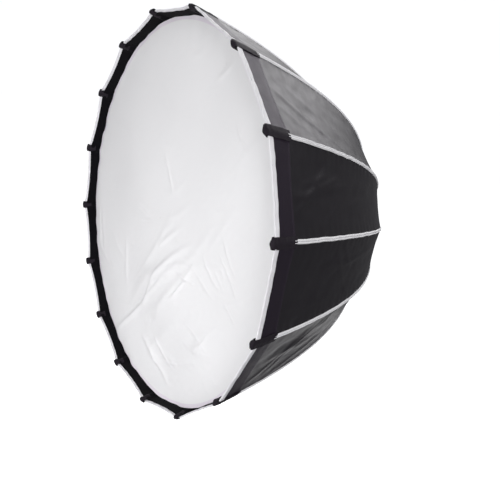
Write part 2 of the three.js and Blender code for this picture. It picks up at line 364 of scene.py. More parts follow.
@dataclass(frozen=True)
class Loops(Finish):
    """Brushed loop tape: a dull, hairy surface."""

    fuzz_scale: float = 900
    fuzz_height: float = 0.6 * MM
    tuft_scale: float = 160
    tuft_height: float = 1.2 * MM

    def build(self, n: Nodes) -> bpy.types.Material:
        """Two sizes of fuzz."""
        where, _, _ = n.uv()
        fuzz = n.noise(where, self.fuzz_scale, 6)
        tufts = n.noise(where, self.tuft_scale, 3)
        return n.surface(
            {
                "Base Color": n.mix(tufts, rgba(self.colour, 0.6), rgba(self.colour, 1.5)),
                "Roughness": self.roughness,
                "Specular IOR Level": 0.08,
                "Sheen Weight": 0.015,
                "Sheen Roughness": 0.7,
                "Normal": n.bump(fuzz * self.fuzz_height + tufts * self.tuft_height),
            }
        )


@dataclass(frozen=True)
class TurnedMetal(Finish):
    """Metal turned on a lathe about the optical axis, with handling marks."""

    groove_pitch: float = 0.0008
    groove_depth: float = 0.000012
    metallic: float = 1.0
    wear: float = 0.35
    worn: tuple[float, float, float] = (0.62, 0.62, 0.63)
    blotch_scale: float = 45
    scratch_scale: float = 420
    scratch_depth: float = 0.02 * MM

    def build(self, n: Nodes) -> bpy.types.Material:
        """Rings by radius and depth, blotches, and bright scratches where it rubs."""
        where, x, y, z = n.place()
        radius = (x * x + z * z) ** 0.5
        lathe = (radius + y).wave(self.groove_pitch)
        blotch = n.noise(where, self.blotch_scale, 5)
        lines = n.noise(where, self.scratch_scale, 2).ridge(0.5, 0.02)
        scratch = lines * n.noise(where, 30, 3)
        worn = scratch.above(0.35, 0.8) * self.wear
        base = n.mix(blotch, rgba(self.colour, 0.85), rgba(self.colour, 1.15))
        return n.surface(
            {
                "Base Color": n.mix(worn, base, rgba(self.worn)),
                "Roughness": self.roughness + (blotch - 0.5) * 0.25 + lathe * 0.03,
                "Metallic": self.metallic,
                "Normal": n.bump(lathe * self.groove_depth + worn * -self.scratch_depth),
            }
        )


@dataclass(frozen=True)
class Moulded(Finish):
    """Moulded plastic or a resin rod: fine grain and faint flow lines."""

    grain: float = 1400.0
    grain_depth: float = 0.04 * MM
    flow_pitch: float = 2.0 * MM
    flow_depth: float = 0.004 * MM
    patch_scale: float = 60
    dust_scale: float = 230
    dust_colour: tuple[float, float, float] = (0.35, 0.34, 0.33)
    coat: float = 0.0

    def build(self, n: Nodes) -> bpy.types.Material:
        """Grain, flow lines, patches and dust."""
        where, _, y, _ = n.place()
        grain = n.noise(where, self.grain, 2)
        patches = n.noise(where, self.patch_scale, 4)
        dust = n.noise(where, self.dust_scale, 5).above(0.62, 0.8)
        height = grain * self.grain_depth + y.wave(self.flow_pitch) * self.flow_depth
        base = n.mix(patches, rgba(self.colour, 0.8), rgba(self.colour, 1.25))
        return n.surface(
            {
                "Base Color": n.mix(dust * 0.25, base, rgba(self.dust_colour)),
                "Roughness": self.roughness + (patches - 0.5) * 0.2 + dust * 0.15,
                "Coat Weight": self.coat,
                "Normal": n.bump(height),
            }
        )


class Finishes(Enum):
    """Every finish on the softbox."""

    NYLON = Cloth(
        "black_nylon", "black_nylon", (0.0095, 0.0083, 0.0105), 0.42, sheen=0.02,
        sheen_roughness=0.3, weave_depth=0.000006, crinkle=0.00022, specular=0.5,
        tint=(0.96, 0.90, 1.0),
    )
    HEM = Cloth(
        "hem_nylon", "black_nylon", (0.013, 0.0088, 0.0155), 0.5, sheen=0.02,
        sheen_roughness=0.3, weave_depth=0.000012, crinkle=0.00025, specular=0.42,
        tint=(0.93, 0.83, 1.0), stitch_rows=(0.0665, 0.0635),
        stitch_gain=2.6,
    )
    LINING = Cloth(
        "silver_lining", "silver_lining", (0.72, 0.73, 0.75), 0.38, metallic=0.75,
        crinkle=0.0010, patchy=0.05,
    )
    DIFFUSER = Cloth(
        "diffuser_cloth", "diffuser_cloth", (0.90, 0.895, 0.91), 0.88, weave=0.0005,
        weave_depth=0.00001, crinkle=0.0003, specular=0.25, sheen=0.05, patchy=0.012,
    )
    EDGE = Cloth(
        "diffuser_edge", "diffuser_cloth", (0.84, 0.79, 0.86), 0.8, weave=0.0005,
        weave_depth=0.00001, crinkle=0.0003, specular=0.25, sheen=0.05, patchy=0.03,
    )
    PIPING = Tape("rim_piping", "white_binding", (0.90, 0.885, 0.93), 0.75)
    SEAM = Tape(
        "seam_binding", "white_binding", (0.90, 0.89, 0.92), 0.72,
        rib_depth=0.00005, stitch_at=(-0.0004, 0.0004), stitch_colour=(0.36, 0.35, 0.38),
    )
    POCKET = Tape(
        "pocket_webbing", "pocket_webbing", (0.0135, 0.0095, 0.0155), 0.7,
        rib_pitch=0.0018, rib_depth=0.00012, stitch_at=(-0.0112, 0.0112),
        stitch_colour=(0.02, 0.015, 0.023), sheen=0.03, specular=0.22,
    )
    NECK = Tape(
        "neck_binding", "pocket_webbing", (0.020, 0.016, 0.022), 0.7, sheen=0.15
    )
    LIP = Loops("lip_loop", "lip_loop", (0.0035, 0.003, 0.0045), 0.95)
    HUB = TurnedMetal(
        "hub_aluminium", "hub_aluminium", (0.045, 0.045, 0.05), 0.42, metallic=0.85,
    )
    INSERT = TurnedMetal(
        "insert_steel", "insert_steel", (0.62, 0.62, 0.64), 0.30, wear=0.6,
        worn=(0.35, 0.34, 0.33),
    )
    WIRE = TurnedMetal("wire_steel", "wire_steel", (0.55, 0.55, 0.57), 0.28)
    SCREW = TurnedMetal(
        "screw_steel", "screw_steel", (0.10, 0.10, 0.11), 0.36, groove_pitch=0.0005,
    )
    ROD = Moulded("rib_rod", "rib_rod", (0.06, 0.06, 0.065), 0.38, coat=0.15)
    KNOB = Moulded("knob_plastic", "knob_plastic", (0.03, 0.03, 0.033), 0.5)

    @property
    def material(self) -> bpy.types.Material:
        """The Blender material."""
        return self.value.material()


# ---- mesh maths -------------------------------------------------------------------------------


@dataclass
class Form:
    """A closed surface before it becomes a mesh: points, four-sided faces and UVs."""

    points: Array
    quads: Array
    uv: Array
    layer: Array

    @staticmethod
    def shell(outer: Array, inner: Array, uv: Array) -> "Form":
        """Closes two grids of the same size into one shell.

        Quads join neighbours on each grid, those of the inner grid the other way round, and
        one strip of quads joins the two borders.

        Args:
            outer: points of the outer face, rows by columns by 3.
            inner: points of the inner face.
            uv: rows by columns by 2, in metres.

        Returns:
            The form; layer is 0 on outer faces, 1 on inner ones and 2 on the border.
        """
        rows, columns = outer.shape[:2]
        index = np.arange(rows * columns).reshape(rows, columns)
        a, b = index[:-1, :-1], index[:-1, 1:]
        c, d = index[1:, 1:], index[1:, :-1]
        top = np.stack([a, b, c, d], -1).reshape(-1, 4)
        loop = np.concatenate(
            [index[0, :-1], index[:-1, -1], index[-1, :0:-1], index[:0:-1, 0]]
        )
        after = np.roll(loop, -1)
        under = rows * columns
        edge = np.stack([loop, loop + under, after + under, after], -1)
        quads = np.concatenate([top, top[:, ::-1] + under, edge])
        layer = np.repeat([0, 1, 2], [len(top), len(top), len(edge)])
        points = np.concatenate([outer.reshape(-1, 3), inner.reshape(-1, 3)])
        return Form(points, quads, np.tile(uv.reshape(-1, 2), (2, 1)), layer)

    @staticmethod
    def tube(sections: Array, uv: Array) -> "Form":
        """Skins closed sections and caps both ends with fans around their middles.

        Args:
            sections: stations by points round the section by 3.
            uv: the same by 2, in metres.

        Returns:
            The form.
        """
        stations, around = sections.shape[:2]
        index = np.arange(stations * around).reshape(stations, around)
        after = np.roll(index, -1, axis=1)
        sides = np.stack([index[:-1], after[:-1], after[1:], index[1:]], -1).reshape(-1, 4)
        middles = sections[[0, -1]].mean(axis=1)
        first, last = stations * around, stations * around + 1
        start = np.stack(
            [np.full(around, first), after[0], index[0], np.full(around, -1)], -1
        )
        end = np.stack(
            [np.full(around, last), index[-1], after[-1], np.full(around, -1)], -1
        )
        points = np.concatenate([sections.reshape(-1, 3), middles])
        flat = np.concatenate([uv.reshape(-1, 2), uv[[0, -1]].mean(axis=1)])
        quads = np.concatenate([sides, start, end])
        return Form(points, quads, flat, np.zeros(len(quads), int))

    @staticmethod
    def ring(sections: Array, uv: Array) -> "Form":
        """Skins closed sections whose last one joins the first."""
        stations, around = sections.shape[:2]
        index = np.arange(stations * around).reshape(stations, around)
        after, ahead = np.roll(index, -1, axis=1), np.roll(index, -1, axis=0)
        corner = np.roll(after, -1, axis=0)
        quads = np.stack([index, after, corner, ahead], -1).reshape(-1, 4)
        return Form(
            sections.reshape(-1, 3), quads, uv.reshape(-1, 2), np.zeros(len(quads), int)
        )

    def outward(self) -> "Form":
        """The same form with its faces turned outwards, by the sign of its volume."""
        ends = np.where(self.quads[:, 3] < 0, 2, 3)
        fourth = self.quads[np.arange(len(self.quads)), ends]
        p = self.points
        a, b, c, d = (p[k] for k in (*self.quads[:, :3].T, fourth))
        volume = (a * np.cross(b, c)).sum() + (a * np.cross(c, d)).sum()
        if volume > 0:
            return self
        turned = self.quads[:, [2, 1, 0, 3]]
        full = self.quads[:, 3] >= 0
        turned[full] = self.quads[full][:, ::-1]
        return Form(self.points, turned, self.uv, self.layer)

    def mesh(self, name: str, sharp: Optional[float] = SHARP) -> bpy.types.Mesh:
        """Puts the form into a Blender mesh.

        Args:
            name: the mesh's name.
            sharp: edges over this many degrees stay sharp; None leaves all smooth.

        Returns:
            The mesh, shaded smooth, with its UVs.
        """
        form = self.outward()
        real = form.quads >= 0
        corners = form.quads[real]
        counts = real.sum(axis=1)
        mesh = bpy.data.meshes.new(name)
        mesh.vertices.add(len(form.points))
        mesh.vertices.foreach_set("co", form.points.astype(np.float32).ravel())
        mesh.loops.add(len(corners))
        mesh.loops.foreach_set("vertex_index", corners.astype(np.int32))
        mesh.polygons.add(len(counts))
        starts = np.concatenate([[0], np.cumsum(counts)[:-1]])
        mesh.polygons.foreach_set("loop_start", starts.astype(np.int32))
        mesh.update(calc_edges=True)
        mesh.validate()
        layer = mesh.uv_layers.new(name="UVMap")
        layer.data.foreach_set("uv", form.uv[corners].astype(np.float32).ravel())
        mesh.polygons.foreach_set("use_smooth", np.ones(len(counts), bool))
        if sharp is not None:
            mesh.set_sharp_from_angle(angle=math.radians(sharp))
        return mesh


def unit(vectors: Array) -> Array:
    """Vectors made one long."""
    return vectors / np.linalg.norm(vectors, axis=-1, keepdims=True)


def run_along(points: Array) -> Array:
    """Distance along a line of points from its first one."""
    gaps = np.linalg.norm(np.diff(points, axis=0), axis=1)
    return np.concatenate([[0], np.cumsum(gaps)])


def grid_of(first: Array, second: Array) -> Array:
    """Pairs of two arrays that broadcast to one grid."""
    return np.stack(np.broadcast_arrays(first, second), -1)


def rounded_square(cosine: Array) -> Array:
    """A sine or cosine pushed out to its power of 0.45, which squares a circle's corners."""
    return np.sign(cosine) * np.abs(cosine) ** 0.45


def across_vectors(angle: float) -> tuple[Array, Array]:
    """The outward and sideways unit vectors at an angle about the optical axis."""
    s, c = math.sin(angle), math.cos(angle)
    return np.array([s, 0.0, c]), np.array([c, 0.0, -s])


def soft_step(x: Array, low: float, high: float) -> Array:
    """0 below low, 1 above high and a smooth cubic between."""
    t = np.clip((x - low) / (high - low), 0, 1)
    return t * t * (3 - 2 * t)


@dataclass(frozen=True)
class Ripples:
    """Seeded soft waves: cosines with random headings and lengths, added up."""

    seed: int
    lengths: tuple[float, float]
    heading: float = 0.0
    spread: float = math.pi
    modes: int = 36

    def __call__(self, x: Array, z: Array) -> Array:
        """Height, about 1 high, at points of the cloth.

        Each mode is cos(2 pi (x cos h + z sin h) / length + phase); the sum is scaled by the
        square root of 2 over the number of modes.
        """
        rng = np.random.default_rng(self.seed)
        heading = self.heading + rng.uniform(-self.spread, self.spread, self.modes) / 2
        length = np.exp(rng.uniform(*np.log(self.lengths), self.modes))
        phase = rng.uniform(0, 2 * math.pi, self.modes)
        kx, kz = (2 * math.pi * np.array([np.cos(heading), np.sin(heading)])) / length
        waves = np.cos(x[..., None] * kx + z[..., None] * kz + phase)
        return waves.sum(-1) * math.sqrt(2 / self.modes)

    def creases(self, x: Array, z: Array, softness: float = 0.22) -> Array:
        """Sharp-crested creases: minus the smoothed size of the waves."""
        return softness - np.sqrt(self(x, z) ** 2 + softness**2)


# ---- the bow of the ribs and the skin over them ------------------------------------------------


@dataclass(frozen=True)
class Bow:
    """The line of a rib and of the skin over it, in the plane of the rib.

    The rib is one cubic curve from its eye to its tip, steep at the hub and nearly straight at
    the rim. The skin line lies a fixed distance outside it and is measured from the rim.
    """

    ribs: int = 16
    hinge_radius: float = 0.094
    hinge_y: float = -0.026
    tip_radius: float = 0.593
    tip_forward: float = 0.851
    heel_angle: float = math.radians(70)
    heel_handle: float = 0.272
    tip_angle: float = math.radians(8)
    tip_handle: float = 0.567
    skin_lift: float = 0.007
    neck_radius: float = 0.1085
    _line: dict[str, Array] = field(default_factory=dict, repr=False)

    @property
    def step(self) -> float:
        """Angle from rib to rib."""
        return 2 * math.pi / self.ribs

    @property
    def half(self) -> float:
        """Half the angle of a gore."""
        return self.step / 2

    def rib_angle(self, i: int) -> float:
        """Angle of rib i, counted from 0."""
        return self.half + i * self.step

    def rod(self, t: Array) -> tuple[Array, Array]:
        """Rib centreline by the cubic's own parameter.

        Args:
            t: 0 at the hinge, 1 at the tip.

        Returns:
            Points and unit tangents as (radius, y) pairs. A point is the sum of the four
            control points weighted by the cubic Bernstein terms.
        """
        heel, lead = (
            handle * np.array([math.sin(angle), math.cos(angle)])
            for handle, angle in (
                (self.heel_handle, self.heel_angle), (self.tip_handle, self.tip_angle)
            )
        )
        tip = np.array([self.tip_radius, self.tip_forward])
        start = np.array([self.hinge_radius, 0.0])
        p = np.array([start, start + heel, tip - lead, tip])
        u = 1 - t
        weights = np.stack([u**3, 3 * u * u * t, 3 * u * t * t, t**3], -1)
        slopes = np.stack([u * u, 2 * u * t, t * t], -1) * 3
        flip = np.array([1, -1])
        at = weights @ p * flip + np.array([0, self.hinge_y])
        return at, unit(slopes @ np.diff(p, axis=0) * flip)

    def _table(self) -> dict[str, Array]:
        """The skin line as a table by distance from the rim, worked out once."""
        if not self._line:
            at, along = self.rod(np.linspace(1, 0, 3001))
            out = np.stack([-along[:, 1], along[:, 0]], -1)
            line = at + out * self.skin_lift
            (r, y), (nr, ny) = line.T, out.T
            self._line.update(s=run_along(line), r=r, y=y, nr=nr, ny=ny)
        return self._line

    def skin(self, s: Array) -> tuple[Array, Array, Array, Array]:
        """Skin line at a distance from the rim, straight on in front of it.

        Args:
            s: metres from the rim towards the hub.

        Returns:
            Radius, y and the outward direction's radial and y parts.
        """
        table = self._table()
        r, y, nr, ny = (np.interp(s, table["s"], table[k]) for k in ("r", "y", "nr", "ny"))
        ahead = np.minimum(s, 0)
        return r - ahead * table["ny"][0], y + ahead * table["nr"][0], nr, ny

    @property
    def length(self) -> float:
        """Skin length from the rim to the neck."""
        table = self._table()
        return float(np.interp(-self.neck_radius, -table["r"], table["s"]))

    def on_rib(self, i: int, s: Array, side: Array, lift: Array) -> Array:
        """Points near rib i: s along the skin line, side across it, lift outwards."""
        out, across = across_vectors(self.rib_angle(i))
        r, y, nr, ny = self.skin(s)
        height = (y + lift * ny)[..., None] * AXIS
        return (r + lift * nr)[..., None] * out + side[..., None] * across + height


@dataclass(frozen=True)
class Creasing:
    """A family of seeded creases in flat cloth, each a short bent ridge that fades at its ends."""

    seed: int
    count: int
    middle: tuple[float, float]
    scatter: tuple[float, float]
    heading: float
    spread: float
    length: tuple[float, float]
    width: tuple[float, float]
    height: tuple[float, float]
    bend: float = 1.5

    def at(self, x: Array, z: Array) -> Array:
        """Height at points of the cloth, in metres.

        In a crease's own axes, p along it and q across it less the bend times p squared, the
        height is a bell of q, steeper on one flank, times exp(-(2 p / length) to the fourth).
        """
        rng = np.random.default_rng(self.seed)
        total = np.zeros(np.broadcast(x, z).shape)
        for _ in range(self.count):
            cx, cz = (m + s * rng.normal() for m, s in zip(self.middle, self.scatter))
            heading = self.heading + self.spread * rng.uniform(-1, 1)
            sizes = (self.length, self.width, self.height)
            length, width, height = (rng.uniform(*ends) for ends in sizes)
            bend, lean = self.bend * rng.uniform(-1, 1), rng.uniform(-0.9, 0.9)
            c, s = math.cos(heading), math.sin(heading)
            p = (x - cx) * c + (z - cz) * s
            q = ((z - cz) * c - (x - cx) * s - bend * p * p) / width
            bell = np.exp(-(q * q) - (2 * p / length) ** 4)
            total += height * bell * (1 + lean * np.tanh(1.5 * q))
        return total


def one_fold(
    seed: int,
    middle: tuple[float, float],
    heading: float,
    length: float,
    width: float,
    height: float,
) -> Creasing:
    """A single long fold with its place and sizes chosen, and a seeded bend and lean."""
    return Creasing(
        seed, 1, middle, (0, 0), heading, 0, (length, length), (width, width), (height, height), 0.3
    )


SECOND_GORE_FOLDS = (
    one_fold(60, (0.036, 0.185), 1.17, 0.30, 0.011, 0.0017),
    one_fold(61, (0.064, 0.145), 1.13, 0.19, 0.009, 0.0011),
    one_fold(62, (0.006, 0.27), 1.25, 0.36, 0.014, 0.0010),
    one_fold(63, (-0.035, 0.36), 1.35, 0.34, 0.018, 0.0006),
)


@dataclass(frozen=True)
class Gore:
    """The surface of one gore of the skin, from rib to rib and from rim to neck."""

    bow: Bow
    number: int
    sag_share: float = 0.026
    rim_sag_share: float = 0.008
    edge: float = 0.004
    scallop: float = 0.005
    crinkle: float = 0.3 * MM
    pucker: float = 0.6 * MM
    pucker_pitch: float = 0.031
    pucker_reach: float = 0.02

    @property
    def angle(self) -> float:
        """Angle of the gore's middle line about the optical axis."""
        return self.bow.rib_angle(self.number) + self.bow.half

    def folds(self, x: Array, s: Array) -> Array:
        """Height of this gore's long folds: chosen for the second gore, seeded for the rest."""
        if self.number == 1:
            return sum(fold.at(x, s) for fold in SECOND_GORE_FOLDS)
        seeded = Creasing(
            seed=40 + self.number,
            count=8,
            middle=(0.0, 0.26),
            scatter=(0.045, 0.12),
            heading=1.2 if self.number % 2 else 1.9,
            spread=0.5,
            length=(0.10, 0.30),
            width=(0.007, 0.014),
            height=(0.0005, 0.0021),
            bend=0.8,
        )
        return seeded.at(x, s)

    def rim(self, across: Array) -> Array:
        """Distance of the cloth's edge from the rim line: it dips in the middle."""
        return self.edge + self.scallop * (1 - (2 * across - 1) ** 2)

    def relief(self, across: Array, s: Array, chord: Array) -> Array:
        """How far the cloth stands off the flat chord between its ribs.

        Sag is a parabola across the gore, deeper behind the hem; folds and crinkles are added,
        and fade out at the seams and in the hem. Puckers are short waves beside the seams.
        """
        middle = 1 - (2 * across - 1) ** 2
        deeper = soft_step(s, 0.02, 0.2)
        share = self.rim_sag_share + (self.sag_share - self.rim_sag_share) * deeper
        x = (across - 0.5) * chord
        loose = soft_step(s, 0.055, 0.11) * (1 - (2 * across - 1) ** 8)
        near_hub = soft_step(s, self.bow.length - 0.02, self.bow.length - 0.12)
        folds = self.folds(x, s)
        crinkle = Ripples(300 + self.number, (0.05, 0.16), 0.5, 1.6)
        small = self.crinkle * crinkle(x, s) + self.crinkle * crinkle.creases(x, s)
        off_seam = (0.5 - np.abs(across - 0.5)) * chord
        wave = np.cos(2 * math.pi * s / self.pucker_pitch + 1.3 * np.sin(s * 41 + self.number))
        fade = np.exp(-off_seam / self.pucker_reach) * (1 - np.exp(-off_seam / 0.005))
        pucker = self.pucker * wave * fade
        return -share * chord * middle + (folds + small) * loose * near_hub + pucker

    def at(self, across: Array, s: Array, lift: Union[Array, float] = 0.0) -> Array:
        """Points of the gore.

        The chord runs between the skin lines of the two ribs. Lift and relief go along the
        skin's outward direction, and the chord is mitred so that layers meet at the seams.

        Args:
            across: 0 at this gore's own rib, 1 at the next.
            s: metres from the rim.
            lift: metres out of the cloth, negative inwards.

        Returns:
            Points, one more axis of 3.
        """
        out, side = across_vectors(self.angle)
        r, y, nr, ny = self.bow.skin(s)
        chord = 2 * r * math.sin(self.bow.half)
        rise = lift + self.relief(across, s, chord)
        flat = r * math.cos(self.bow.half)
        reach = (2 * across - 1) * math.tan(self.bow.half) * (flat + lift * nr)
        radial = (flat + rise * nr)[..., None] * out
        return radial + reach[..., None] * side + (y + rise * ny)[..., None] * AXIS

    def uv(self, across: Array, s: Array) -> Array:
        """UVs in metres of the flat cloth, set apart for each gore."""
        r = self.bow.skin(s)[0]
        x = (across - 0.5) * 2 * r * math.sin(self.bow.half)
        return np.stack([x + 0.31 * self.number, s], -1)

    def flat(self) -> tuple[tuple[float, float], float]:
        """Width and length of the rectangle that the gore is cut from, and the cut's area."""
        s = np.linspace(self.edge, self.bow.length, 400)
        chord = 2 * self.bow.skin(s)[0] * math.sin(self.bow.half)
        area = float(((chord[1:] + chord[:-1]) / 2 * np.diff(s)).sum())
        return (float(chord.max()), float(s[-1] - s[0])), area


# ---- sub-assemblies ---------------------------------------------------------------------------


def into_scene(name: str, data: bpy.types.ID) -> bpy.types.Object:
    """A new object at the origin, in the scene."""
    made = bpy.data.objects.new(name, data)
    bpy.context.scene.collection.objects.link(made)
    return made


def dress(
    name: str, form: Form, *finishes: Finishes, sharp: Optional[float] = SHARP
) -> bpy.types.Object:
    """Makes a piece from a form.

    Args:
        name: the piece's name.
        form: its surface.
        finishes: the outer finish, and a second one for the inner layer if given.
        sharp: see Form.mesh.

    Returns:
        The object, at the origin, in the scene.
    """
    mesh = form.mesh(name, sharp)
    for finish in finishes:
        mesh.materials.append(finish.material)
    if len(finishes) > 1:
        mesh.polygons.foreach_set("material_index", (form.layer == 1).astype(np.int32))
    piece = into_scene(name, mesh)
    return piece


def machined(
    node: str, body: str, finish: Finishes, bevel: float, segments: int = 2
) -> bpy.types.Object:
    """A merged and bevelled copy of a CAD node, in its place.

    Args:
        node: the CAD node it replaces.
        body: the body it rides on.
        finish: its finish.
        bevel: width of the bevel on its edges.
        segments: faces across the bevel.

    Returns:
        The new piece.
    """
    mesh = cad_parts[node].data.copy()
    mesh.materials.clear()
    mesh.materials.append(finish.material)
    piece = into_scene(f"{node}_finished", mesh)
    weld = piece.modifiers.new("weld", "WELD")
    weld.merge_threshold = 1e-5
    edge = piece.modifiers.new("edges", "BEVEL")
    edge.width, edge.segments, edge.limit_method = bevel, segments, "ANGLE"
    edge.angle_limit = math.radians(BEVELLED_OVER)
    graph = bpy.context.evaluated_depsgraph_get()
    solid = bpy.data.meshes.new_from_object(piece.evaluated_get(graph))
    piece.modifiers.clear()
    piece.data = solid
    solid.name = piece.name
    solid.polygons.foreach_set("use_smooth", np.ones(len(solid.polygons), bool))
    solid.set_sharp_from_angle(angle=math.radians(BEVELLED_OVER))
    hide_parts(node)
    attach(piece, body)
    LOG.info("%s rides on %s", piece.name, body)
    return piece


@dataclass
class Skin:
    """The sewn skin: gores with their hems, piping, lip tape and neck binding."""

    bow: Bow
    columns: int = 40
    rows: int = 176
    thickness: float = 0.9 * MM
    hem_width: float = 0.070
    piping_gap: float = 0.0116
    lip_end: float = 0.062
    lip_depth: float = 2.4 * MM
    lip_thickness: float = 1.1 * MM
    tunnel: float = 9.7 * MM
    tunnel_width: float = 0.0115
    made: dict[int, list[bpy.types.Object]] = field(default_factory=dict)

    def hang(self, piece: bpy.types.Object, gore: Gore, across: Array) -> None:
        """Hangs a piece between a gore's two ribs.

        A point follows its own rib at share 0 and the next rib at share 1. The shares are
        those of the cloth itself, because the gore narrows and its seams are curved.

        Args:
            piece: the piece, whose mesh is final.
            gore: its gore.
            across: one share for each vertex.
        """
        i = gore.number
        rim = np.zeros(1)
        ends = self.bow.on_rib(i, rim, rim, rim)[0], gore.at(np.ones(1), rim)[0]
        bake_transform(piece, f"rib_{i + 1:02d}", f"gore_{i + 1:02d}", *(tuple(e) for e in ends))
        shares = piece.data.attributes["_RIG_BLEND"].data
        shares.foreach_set("value", np.clip(across, 0, 1).astype(np.float32).ravel())
        self.made.setdefault(i, []).append(piece)
        LOG.info("%s hangs between the ribs of gore %d", piece.name, i + 1)

    def layer(
        self,
        name: str,
        gore: Gore,
        rows: tuple[Array, Array],
        lifts: tuple[Any, Any],
        *finishes: Finishes,
    ) -> bpy.types.Object:
        """Makes one band of cloth on a gore, from seam to seam.

        Args:
            name: the piece's name.
            gore: its gore.
            rows: grids of shares across and of distances from the rim.
            lifts: lift of the outer and of the inner face.
            finishes: as in dress.

        Returns:
            The piece, hung in place.
        """
        across, s = rows
        outer, inner = (gore.at(across, s, lift) for lift in lifts)
        piece = dress(name, Form.shell(outer, inner, gore.uv(across, s)), *finishes)
        self.hang(piece, gore, np.tile(across.ravel(), 2))
        return piece

    def grid(self, gore: Gore, start: float, end: float, rows: int) -> tuple[Array, Array]:
        """Shares and distances of a band whose front edge follows the scalloped rim."""
        across = np.linspace(0, 1, self.columns + 1)
        t = np.linspace(0, 1, rows + 1)[:, None]
        front = gore.rim(across)[None, :] + start
        return np.broadcast_arrays(across[None, :], front + t * (end - front))

    def panel(self, gore: Gore) -> bpy.types.Object:
        """The gore itself: black outside, silver inside."""
        name = f"gore_cloth_{gore.number + 1:02d}"
        rows = self.grid(gore, 0.0005, self.bow.length, self.rows)
        piece = self.layer(
            name, gore, rows, (0.0, -self.thickness), Finishes.NYLON, Finishes.LINING
        )
        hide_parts(f"skin_gore_{gore.number + 1:02d}")
        return piece

    def hem(self, gore: Gore) -> bpy.types.Object:
        """The doubled hem behind the rim, with its rear edge turned under."""
        across, s = self.grid(gore, 0.0008, self.hem_width, 18)
        edge = soft_step(s, self.hem_width + 0.0002, self.hem_width - 0.0025)
        upper = 0.0006 + 0.0008 * edge
        name = f"rim_hem_{gore.number + 1:02d}"
        return self.layer(name, gore, (across, s), (upper, 0.0001), Finishes.HEM)

    def lip(self, gore: Gore) -> bpy.types.Object:
        """Loop tape inside the rim, which passes over the rods at both seams."""
        across, s = self.grid(gore, 0.0046, self.lip_end, 16)
        chord = 2 * self.bow.skin(s)[0] * math.sin(self.bow.half)
        off_seam = (0.5 - np.abs(across - 0.5)) * chord
        rise = self.tunnel * np.exp(-((off_seam / self.tunnel_width) ** 2))
        face = -self.lip_depth - rise
        name = f"lip_tape_{gore.number + 1:02d}"
        lifts = (face + self.lip_thickness, face)
        return self.layer(name, gore, (across, s), lifts, Finishes.LIP)

    def neck(self, gore: Gore) -> bpy.types.Object:
        """Binding round the neck opening."""
        across = np.linspace(0, 1, self.columns + 1)[None, :]
        t = np.linspace(0, 1, 7)[:, None]
        s = self.bow.length - 0.016 + 0.0175 * t
        fat = np.sqrt(np.clip(1 - (2 * t - 1) ** 6, 0.04, 1))
        across, s, fat = np.broadcast_arrays(across, s, fat)
        name = f"neck_binding_{gore.number + 1:02d}"
        lifts = (1.3 * MM * fat, -2.0 * MM * fat)
        return self.layer(name, gore, (across, s), lifts, Finishes.NECK)

    def piping_section(self) -> Array:
        """The binding's section as (back from the edge, outwards) points in metres.

        A roll in front of the cloth's edge, a leg outside and a shorter one inside; the slot
        between the legs holds the cloth and its hem.
        """
        turn = np.radians(np.linspace(58, 302, 13))
        roll = np.stack([-1.0 + 2.6 * np.cos(turn), 0.05 + 2.6 * np.sin(turn)], -1)
        outer_leg = [(9.6, 1.55), (10.0, 2.05), (9.2, 2.5), (5.0, 2.65), (1.5, 2.45), (0.75, 1.95)]
        inner_leg = [(0.75, -1.75), (1.5, -2.1), (3.0, -2.2), (4.4, -2.0), (4.8, -1.6)]
        slot = [(4.4, -1.1), (0.6, -1.1), (0.6, 1.5)]
        return np.concatenate([outer_leg, roll, inner_leg, slot]) * MM

    def piping(self, gore: Gore) -> bpy.types.Object:
        """White binding over the rim's edge, from pocket to pocket."""
        chord = 2 * self.bow.skin(np.zeros(1))[0][0] * math.sin(self.bow.half)
        short = self.piping_gap / chord
        across = np.linspace(short, 1 - short, 61)
        edge = gore.rim(across)
        step = 0.5 * MM
        at = gore.at(across, edge)
        back = unit(gore.at(across, edge + step) - at)
        out = unit(gore.at(across, edge, step) - at)
        rng = Ripples(900 + gore.number, (0.03, 0.09), 0.0, 0.01, 9)
        at = at + out * (0.35 * MM * rng(across * chord, across * 0))[:, None]
        section = self.piping_section()
        a, b = section[None, :, :1], section[None, :, 1:]
        sections = at[:, None] + a * back[:, None] + b * out[:, None]
        uv = grid_of(run_along(section)[None, :], (across * chord)[:, None])
        name = f"rim_piping_{gore.number + 1:02d}"
        piece = dress(name, Form.tube(sections, uv), Finishes.PIPING)
        shares = np.concatenate([np.repeat(across, len(section)), across[[0, -1]]])
        self.hang(piece, gore, shares)
        return piece

    def build(self) -> None:
        """Makes all gores and the pieces sewn to them."""
        for i in range(self.bow.ribs):
            gore = Gore(self.bow, i)
            for part in (self.panel, self.hem, self.lip, self.neck, self.piping):
                part(gore)

    def declare(self, on_ribs: dict[int, list[bpy.types.Object]]) -> None:
        """Works out the flat width, length and area of each gore's cut, and keeps none of them."""
        for i, (cloth, *sewn) in self.made.items():
            flat, area = Gore(self.bow, i).flat()


